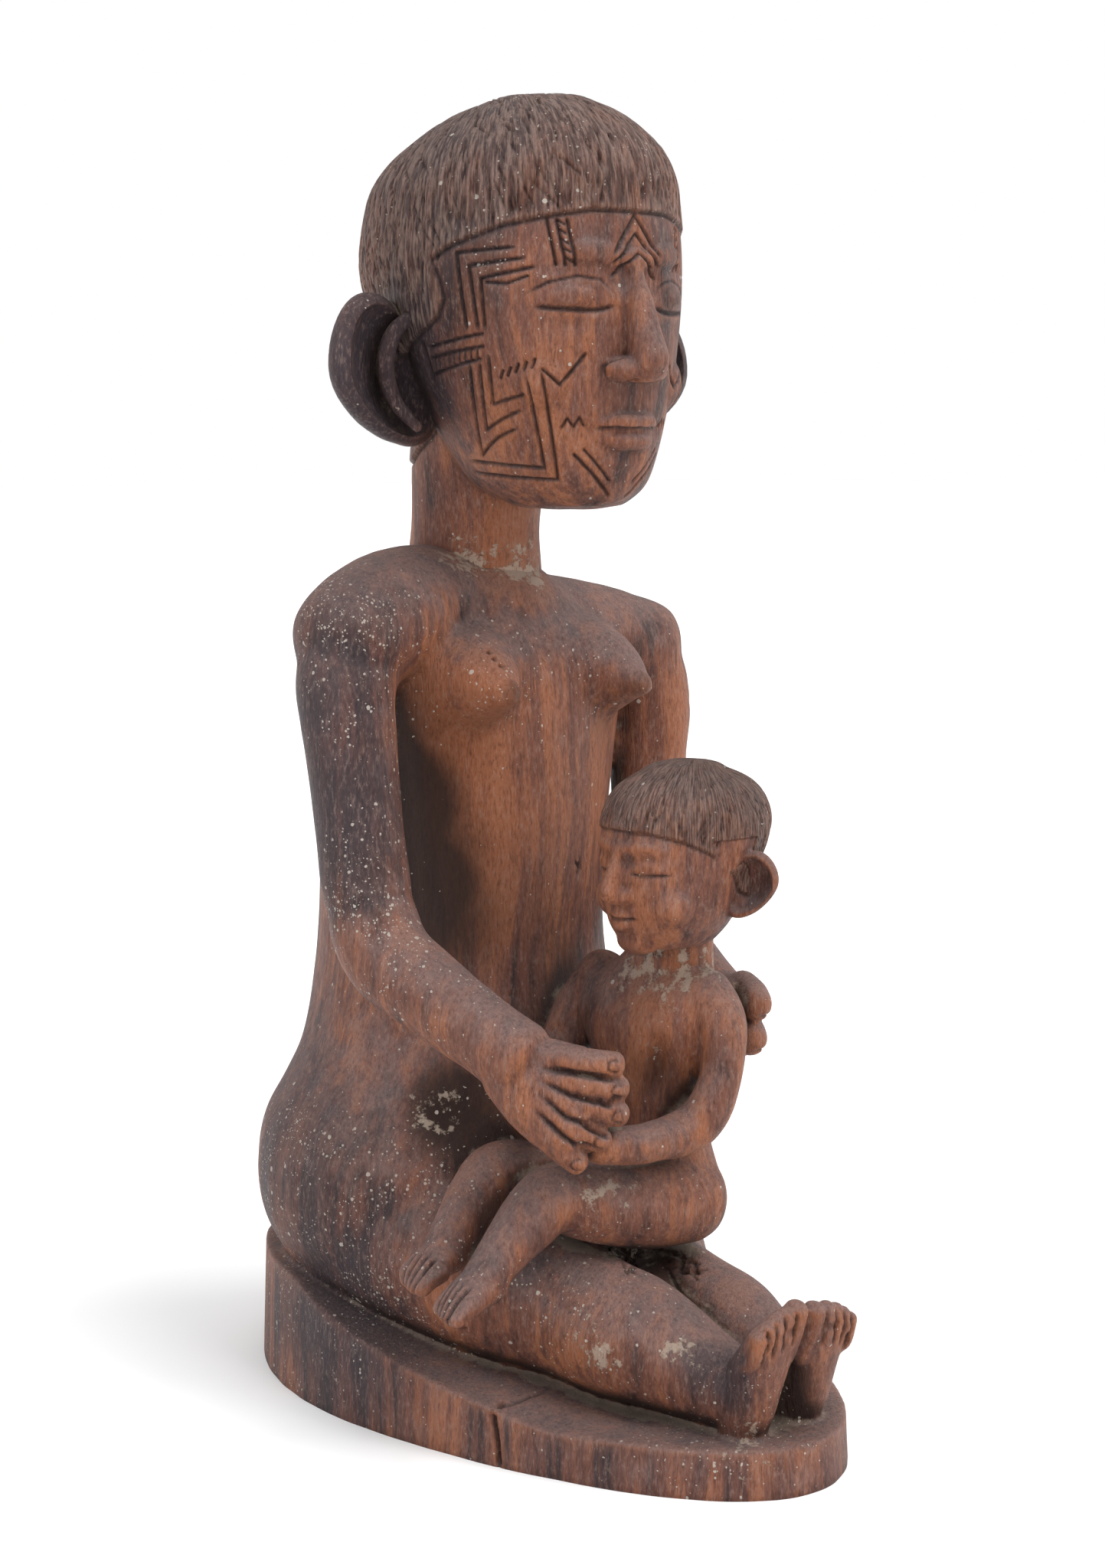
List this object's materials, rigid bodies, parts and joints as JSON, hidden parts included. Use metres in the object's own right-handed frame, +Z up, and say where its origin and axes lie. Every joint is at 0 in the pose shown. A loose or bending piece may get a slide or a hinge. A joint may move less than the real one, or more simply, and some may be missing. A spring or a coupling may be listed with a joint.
{
  "type": "carved figure group",
  "caption": "Seated mother with a child on her lap, carved together with their plinth from one block of dark hardwood",
  "frame": {"origin": "middle of the plinth's flat underside, on the ground", "axes": "+Z up, towards the crown of the mother's head; -Y is the way the mother looks, towards her toes; the child looks along -X"},
  "size_m": [0.1754, 0.2611, 0.4475],
  "materials": {
    "hardwood": "hand carved and rubbed, worn and dusty in the hollows, roughness about 0.55"
  },
  "bodies": {
    "root": {"mother_and_child_carving": "hardwood"}
  },
  "joints": []
}
